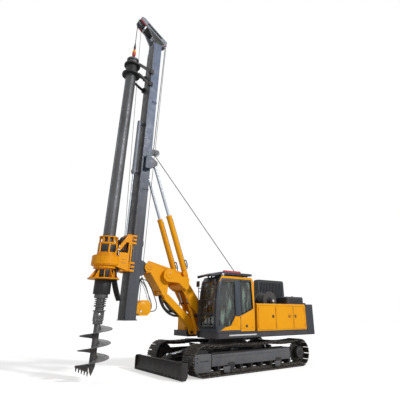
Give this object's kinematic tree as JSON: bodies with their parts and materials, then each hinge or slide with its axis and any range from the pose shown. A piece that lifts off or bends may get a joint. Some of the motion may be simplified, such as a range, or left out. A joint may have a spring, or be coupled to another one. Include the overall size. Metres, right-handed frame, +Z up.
{
  "type": "rotary piling rig",
  "caption": "Crawler-mounted rotary piling rig with a hinged drilling mast, boom linkage, rotary drive, Kelly bar, earth auger, cab and front blade.",
  "frame": {"origin": "on the ground, in the middle of the bounding box's footprint", "axes": "+X forward towards the mast, +Y to the rig's left (the cab side), +Z up"},
  "size_m": [8.57, 2.96, 12.8802],
  "materials": {
    "yellow_paint": "gloss",
    "dark_paint": "satin",
    "grey_paint": "satin",
    "yellow_drive_paint": "gloss",
    "track_steel": "worn",
    "chrome_rod": "polished",
    "worn_steel": "worn",
    "tinted_glass": "tinted",
    "seat_trim": "matte",
    "red_lens": "gloss",
    "lamp": "gloss"
  },
  "bodies": {
    "undercarriage": {"centre_frame": "grey_paint", "track_frame_left": "grey_paint", "track_frame_right": "grey_paint", "track_left": "track_steel", "track_right": "track_steel", "track_rollers": "track_steel", "end_wheels": "track_steel", "slew_ring": "track_steel"},
    "upper": {"main_frame": "yellow_paint", "counterweight": "dark_paint", "left_housing": "yellow_paint", "right_housing": "yellow_paint", "engine_block": "dark_paint", "cooler_tower": "dark_paint", "tank_and_locker": "dark_paint", "winch_frame": "dark_paint", "cab_shell": "yellow_paint", "cab_glass": "tinted_glass", "guards_and_rails": "dark_paint", "operator_seat": "seat_trim", "light_bar": "red_lens", "work_lamps": "lamp"},
    "blade": {"blade": "grey_paint"},
    "blade_barrel": {"blade_barrel": "grey_paint"},
    "blade_rod": {"blade_rod": "chrome_rod"},
    "boom": {"boom": "yellow_paint"},
    "link": {"link": "yellow_paint", "link_hose_outer": "dark_paint", "link_hose_inner": "dark_paint"},
    "triangle": {"triangle": "yellow_paint"},
    "luff_barrels": {"luff_barrels": "yellow_paint"},
    "luff_rods": {"luff_rods": "chrome_rod"},
    "mast_barrels": {"mast_barrels": "yellow_paint"},
    "mast_rods": {"mast_rods": "chrome_rod"},
    "mast": {"mast": "grey_paint", "mast_head": "grey_paint", "aux_winch": "yellow_paint", "winch_hose_left": "dark_paint", "winch_hose_right": "dark_paint", "press_barrel": "grey_paint"},
    "drive": {"drive_carriage": "grey_paint", "drive_gearbox": "yellow_drive_paint", "drive_motors": "dark_paint", "press_rod": "chrome_rod"},
    "kelly_guide": {"kelly_guide": "grey_paint"},
    "kelly": {"kelly_bar": "worn_steel", "auger": "worn_steel"},
    "main_drum": {"main_drum": "worn_steel"},
    "aux_drum": {"aux_drum": "worn_steel"},
    "front_sheaves": {"front_sheaves": "worn_steel"},
    "rear_sheaves": {"rear_sheaves": "worn_steel"},
    "mid_sheave": {"mid_sheave": "worn_steel"},
    "cab_door": {"cab_door": "yellow_paint", "door_glass": "tinted_glass"},
    "engine_hood": {"engine_hood": "dark_paint"},
    "side_door_front": {"side_door_front": "yellow_paint"},
    "side_door_middle": {"side_door_middle": "yellow_paint"},
    "side_door_rear": {"side_door_rear": "yellow_paint"},
    "right_door_front": {"right_door_front": "yellow_paint"},
    "right_door_rear": {"right_door_rear": "yellow_paint"}
  },
  "joints": [
    {"name": "slew", "type": "hinge", "parent": "undercarriage", "child": "upper", "pos_m": [-0.815, 0, 0.88], "axis": [0, 0, 1], "continuous": true},
    {"name": "blade_lift", "type": "hinge", "parent": "undercarriage", "child": "blade", "pos_m": [0.275, 0, 0.4], "axis": [0, 1, 0], "range_deg": [-14, 5]},
    {"name": "blade_cylinder", "type": "hinge", "parent": "undercarriage", "child": "blade_barrel", "pos_m": [0.195, 0, 0.715], "axis": [0, 1, 0], "range_deg": [-13.9, 5.6]},
    {"name": "blade_rod", "type": "slide", "parent": "blade_barrel", "child": "blade_rod", "axis": [0.987, 0, -0.1608], "range_m": [-0.079, 0.0308]},
    {"name": "boom_luff", "type": "hinge", "parent": "upper", "child": "boom", "pos_m": [0.385, 0, 1.62], "axis": [0, 1, 0], "range_deg": [-14, 4]},
    {"name": "link_swing", "type": "hinge", "parent": "upper", "child": "link", "pos_m": [0.445, 0, 1.11], "axis": [0, 1, 0], "range_deg": [-15, 5]},
    {"name": "triangle_level", "type": "hinge", "parent": "boom", "child": "triangle", "pos_m": [1.875, 0, 2.81], "axis": [0, 1, 0], "range_deg": [-5, 15]},
    {"name": "luff_cylinders", "type": "hinge", "parent": "upper", "child": "luff_barrels", "pos_m": [0.585, 0, 1.1], "axis": [0, 1, 0], "range_deg": [-11.1, 3.9]},
    {"name": "luff_rods", "type": "slide", "parent": "luff_barrels", "child": "luff_rods", "axis": [0.4001, 0, 0.9165], "range_m": [-0.0294, 0.093]},
    {"name": "mast_fold", "type": "hinge", "parent": "triangle", "child": "mast", "pos_m": [2.525, 0, 3.02], "axis": [0, 1, 0], "range_deg": [-70, 5]},
    {"name": "mast_cylinders", "type": "hinge", "parent": "triangle", "child": "mast_barrels", "pos_m": [1.21, 0, 2.825], "axis": [0, 1, 0], "range_deg": [-69.1, 5.9]},
    {"name": "mast_rods", "type": "slide", "parent": "mast_barrels", "child": "mast_rods", "axis": [0.3768, 0, 0.9263], "range_m": [-1.5479, 0.1143]},
    {"name": "drive_feed", "type": "slide", "parent": "mast", "child": "drive", "axis": [0, 0, -1], "range_m": [-1.9, 0.08]},
    {"name": "kelly_lower", "type": "slide", "parent": "mast", "child": "kelly_guide", "axis": [0, 0, -1], "range_m": [0, 5.5]},
    {"name": "kelly_spin", "type": "hinge", "parent": "kelly_guide", "child": "kelly", "pos_m": [3.835, 0, 3], "axis": [0, 0, 1], "continuous": true},
    {"name": "main_drum_spin", "type": "hinge", "parent": "upper", "child": "main_drum", "pos_m": [-2.565, 0.19, 2.12], "axis": [0, 1, 0], "continuous": true},
    {"name": "aux_drum_spin", "type": "hinge", "parent": "mast", "child": "aux_drum", "pos_m": [2.545, 0, 1.835], "axis": [0, 1, 0], "continuous": true},
    {"name": "front_sheave_spin", "type": "hinge", "parent": "mast", "child": "front_sheaves", "pos_m": [3.685, 0, 12.7], "axis": [0, 1, 0], "continuous": true},
    {"name": "rear_sheave_spin", "type": "hinge", "parent": "mast", "child": "rear_sheaves", "pos_m": [2.69, 0, 12.125], "axis": [0, 1, 0], "continuous": true},
    {"name": "mid_sheave_spin", "type": "hinge", "parent": "mast", "child": "mid_sheave", "pos_m": [2.515, 0, 7.11], "axis": [0, 1, 0], "continuous": true},
    {"name": "cab_door_swing", "type": "hinge", "parent": "upper", "child": "cab_door", "pos_m": [-0.31, 1.342, 2], "axis": [0, 0, 1], "range_deg": [0, 90]},
    {"name": "engine_hood_lift", "type": "hinge", "parent": "upper", "child": "engine_hood", "pos_m": [-4.155, 0.29, 2.0143], "axis": [0, -1, 0], "range_deg": [0, 60]},
    {"name": "side_door_front_swing", "type": "hinge", "parent": "upper", "child": "side_door_front", "pos_m": [-1.103, 1.342, 1.555], "axis": [0, 0, -1], "range_deg": [0, 95]},
    {"name": "side_door_middle_swing", "type": "hinge", "parent": "upper", "child": "side_door_middle", "pos_m": [-1.953, 1.342, 1.555], "axis": [0, 0, -1], "range_deg": [0, 95]},
    {"name": "side_door_rear_swing", "type": "hinge", "parent": "upper", "child": "side_door_rear", "pos_m": [-3.447, 1.342, 1.555], "axis": [0, 0, 1], "range_deg": [0, 95]},
    {"name": "right_door_front_swing", "type": "hinge", "parent": "upper", "child": "right_door_front", "pos_m": [-1.783, -1.342, 1.555], "axis": [0, 0, 1], "range_deg": [0, 95]},
    {"name": "right_door_rear_swing", "type": "hinge", "parent": "upper", "child": "right_door_rear", "pos_m": [-3.447, -1.342, 1.555], "axis": [0, 0, -1], "range_deg": [0, 95]}
  ],
  "couplings": [
    {"joint": "blade_cylinder", "follows": "blade_lift", "ratio": 0.91991},
    {"joint": "blade_rod", "follows": "blade_lift", "m_per_rad": 0.30687},
    {"joint": "link_swing", "follows": "boom_luff", "ratio": 1},
    {"joint": "triangle_level", "follows": "boom_luff", "ratio": -1},
    {"joint": "luff_cylinders", "follows": "boom_luff", "ratio": 0.71882},
    {"joint": "luff_rods", "follows": "boom_luff", "m_per_rad": -0.36443},
    {"joint": "mast_cylinders", "follows": "mast_fold", "ratio": 0.97275},
    {"joint": "mast_rods", "follows": "mast_fold", "m_per_rad": 1.2637}
  ]
}
